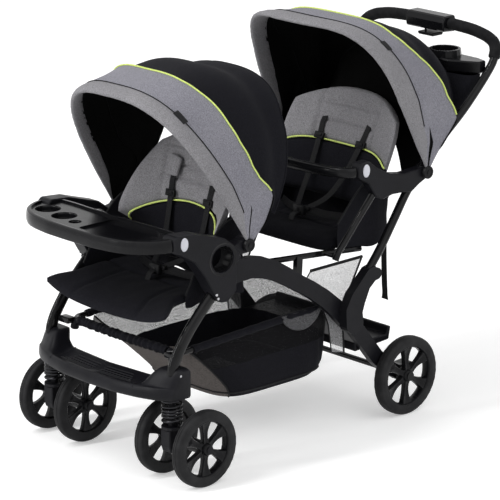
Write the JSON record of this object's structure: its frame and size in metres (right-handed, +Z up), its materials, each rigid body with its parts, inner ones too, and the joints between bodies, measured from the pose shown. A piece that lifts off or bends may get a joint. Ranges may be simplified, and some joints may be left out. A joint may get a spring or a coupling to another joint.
{
  "type": "sit and stand stroller",
  "caption": "Folding in-line stroller with a front seat, a rear seat over a standing platform, canopies, trays, basket, sprung swivel casters and a push handle.",
  "frame": {"origin": "on the ground, under the middle of the stroller's box", "axes": "+Z up, the stroller's front faces -Y, its left side is +X"},
  "size_m": [0.7118, 1.451, 1.1759],
  "materials": {
    "black_tube": "gloss black paint",
    "black_plastic": "satin black",
    "tyre_rubber": "matt black",
    "steel": "plain steel rod",
    "black_spring": "black coated spring wire",
    "silver_plastic": "light grey plastic",
    "foam": "black foam",
    "grey_fabric": "grey heather woven fabric",
    "black_fabric": "black woven fabric",
    "mesh_fabric": "dark mesh fabric"
  },
  "bodies": {
    "chassis": {"footrest": "black_plastic", "rear_axle": "steel", "standing_platform": "black_plastic", "basket": "mesh_fabric", "basket_frame": "black_tube", "front_seat": "black_fabric", "rear_seat": "black_fabric", "front_leg_left": "black_tube", "front_hub_left": "black_plastic", "arch_rail_left": "black_plastic", "seat_rail_left": "black_tube", "caster_spring_left": "black_spring", "front_leg_right": "black_tube", "front_hub_right": "black_plastic", "arch_rail_right": "black_plastic", "seat_rail_right": "black_tube", "caster_spring_right": "black_spring"},
    "rear_frame": {"handle_tube": "black_tube", "handle_grip": "foam", "handle_block": "black_plastic", "parent_tray": "black_plastic", "tray_pocket": "black_fabric", "rear_canopy_rear": "black_fabric", "rear_upright_left": "black_plastic", "seat_tube_left": "black_tube", "rear_armrest_left": "black_plastic", "rear_upright_right": "black_plastic", "seat_tube_right": "black_tube", "rear_armrest_right": "black_plastic"},
    "front_hood": {"front_canopy": "grey_fabric", "front_canopy_rear": "black_fabric"},
    "rear_hood": {"rear_canopy": "grey_fabric"},
    "front_back": {"front_seat_back": "grey_fabric"},
    "rear_back": {"rear_seat_back": "grey_fabric", "recline_strap": "black_fabric"},
    "tray": {"child_tray": "black_plastic"},
    "bar": {"grab_bar": "black_plastic"},
    "trigger": {"fold_trigger": "black_plastic"},
    "tray_button_body_left": {"tray_button_left": "silver_plastic"},
    "armrest_button_body_left": {"armrest_button_left": "silver_plastic"},
    "brake_left": {"brake_pedal_left": "black_plastic"},
    "rear_wheel_left": {"tyre_rear_left": "tyre_rubber", "rim_rear_left": "black_plastic"},
    "caster_stem_body_left": {"caster_stem_left": "black_plastic"},
    "caster_fork_body_left": {"caster_fork_left": "black_plastic"},
    "front_wheel_left_outer": {"tyre_front_left_outer": "tyre_rubber", "rim_front_left_outer": "black_plastic"},
    "front_wheel_left_inner": {"tyre_front_left_inner": "tyre_rubber", "rim_front_left_inner": "black_plastic"},
    "tray_button_body_right": {"tray_button_right": "silver_plastic"},
    "armrest_button_body_right": {"armrest_button_right": "silver_plastic"},
    "brake_right": {"brake_pedal_right": "black_plastic"},
    "rear_wheel_right": {"tyre_rear_right": "tyre_rubber", "rim_rear_right": "black_plastic"},
    "caster_stem_body_right": {"caster_stem_right": "black_plastic"},
    "caster_fork_body_right": {"caster_fork_right": "black_plastic"},
    "front_wheel_right_outer": {"tyre_front_right_outer": "tyre_rubber", "rim_front_right_outer": "black_plastic"},
    "front_wheel_right_inner": {"tyre_front_right_inner": "tyre_rubber", "rim_front_right_inner": "black_plastic"}
  },
  "joints": [
    {"name": "handle_fold", "type": "hinge", "parent": "chassis", "child": "rear_frame", "pos_m": [0, 0.0925, 0.33], "axis": [1, 0, 0], "range_deg": [0, 20]},
    {"name": "front_canopy_fold", "type": "hinge", "parent": "chassis", "child": "front_hood", "pos_m": [0, -0.3145, 0.636], "axis": [1, 0, 0], "range_deg": [-35, 0]},
    {"name": "rear_canopy_fold", "type": "hinge", "parent": "rear_frame", "child": "rear_hood", "pos_m": [0, 0.3735, 0.723], "axis": [1, 0, 0], "range_deg": [-12, 0]},
    {"name": "front_recline", "type": "hinge", "parent": "chassis", "child": "front_back", "pos_m": [0, -0.2745, 0.557], "axis": [1, 0, 0], "range_deg": [-25, 0]},
    {"name": "rear_recline", "type": "hinge", "parent": "rear_frame", "child": "rear_back", "pos_m": [0, 0.2805, 0.628], "axis": [1, 0, 0], "range_deg": [-20, 0]},
    {"name": "tray_slide", "type": "slide", "parent": "chassis", "child": "tray", "axis": [0, -1, 0], "range_m": [0, 0.06]},
    {"name": "grab_bar_slide", "type": "slide", "parent": "rear_frame", "child": "bar", "axis": [0, -1, 0], "range_m": [0, 0.05]},
    {"name": "trigger_press", "type": "slide", "parent": "rear_frame", "child": "trigger", "axis": [0, 0, 1], "range_m": [0, 0.006], "stiffness_N_per_m": 300, "springref_m": -0.003},
    {"name": "tray_button_press_left", "type": "slide", "parent": "chassis", "child": "tray_button_body_left", "axis": [-1, 0, 0], "range_m": [0, 0.004], "stiffness_N_per_m": 300, "springref_m": -0.003},
    {"name": "armrest_button_press_left", "type": "slide", "parent": "rear_frame", "child": "armrest_button_body_left", "axis": [-1, 0, 0], "range_m": [0, 0.004], "stiffness_N_per_m": 300, "springref_m": -0.003},
    {"name": "brake_press_left", "type": "hinge", "parent": "chassis", "child": "brake_left", "pos_m": [0.219, 0.3105, 0.118], "axis": [1, 0, 0], "range_deg": [-20, 0]},
    {"name": "rear_wheel_roll_left", "type": "hinge", "parent": "chassis", "child": "rear_wheel_left", "pos_m": [0.2845, 0.3105, 0.118], "axis": [1, 0, 0], "continuous": true},
    {"name": "caster_suspension_left", "type": "slide", "parent": "chassis", "child": "caster_stem_body_left", "axis": [0, 0, 1], "range_m": [0, 0.012], "stiffness_N_per_m": 8000, "springref_m": -0.012, "deforming": ["caster_spring_left"]},
    {"name": "caster_swivel_left", "type": "hinge", "parent": "caster_stem_body_left", "child": "caster_fork_body_left", "pos_m": [0.2526, -0.5735, 0.145], "axis": [0, 0, 1], "continuous": true},
    {"name": "front_wheel_roll_left_outer", "type": "hinge", "parent": "caster_fork_body_left", "child": "front_wheel_left_outer", "pos_m": [0.3306, -0.5255, 0.109], "axis": [1, 0, 0], "continuous": true},
    {"name": "front_wheel_roll_left_inner", "type": "hinge", "parent": "caster_fork_body_left", "child": "front_wheel_left_inner", "pos_m": [0.1746, -0.5255, 0.109], "axis": [1, 0, 0], "continuous": true},
    {"name": "tray_button_press_right", "type": "slide", "parent": "chassis", "child": "tray_button_body_right", "axis": [1, 0, 0], "range_m": [0, 0.004], "stiffness_N_per_m": 300, "springref_m": -0.003},
    {"name": "armrest_button_press_right", "type": "slide", "parent": "rear_frame", "child": "armrest_button_body_right", "axis": [1, 0, 0], "range_m": [0, 0.004], "stiffness_N_per_m": 300, "springref_m": -0.003},
    {"name": "brake_press_right", "type": "hinge", "parent": "chassis", "child": "brake_right", "pos_m": [-0.219, 0.3105, 0.118], "axis": [1, 0, 0], "range_deg": [-20, 0]},
    {"name": "rear_wheel_roll_right", "type": "hinge", "parent": "chassis", "child": "rear_wheel_right", "pos_m": [-0.2845, 0.3105, 0.118], "axis": [1, 0, 0], "continuous": true},
    {"name": "caster_suspension_right", "type": "slide", "parent": "chassis", "child": "caster_stem_body_right", "axis": [0, 0, 1], "range_m": [0, 0.012], "stiffness_N_per_m": 8000, "springref_m": -0.012, "deforming": ["caster_spring_right"]},
    {"name": "caster_swivel_right", "type": "hinge", "parent": "caster_stem_body_right", "child": "caster_fork_body_right", "pos_m": [-0.2526, -0.5735, 0.145], "axis": [0, 0, 1], "continuous": true},
    {"name": "front_wheel_roll_right_outer", "type": "hinge", "parent": "caster_fork_body_right", "child": "front_wheel_right_outer", "pos_m": [-0.3306, -0.5255, 0.109], "axis": [1, 0, 0], "continuous": true},
    {"name": "front_wheel_roll_right_inner", "type": "hinge", "parent": "caster_fork_body_right", "child": "front_wheel_right_inner", "pos_m": [-0.1746, -0.5255, 0.109], "axis": [1, 0, 0], "continuous": true}
  ]
}
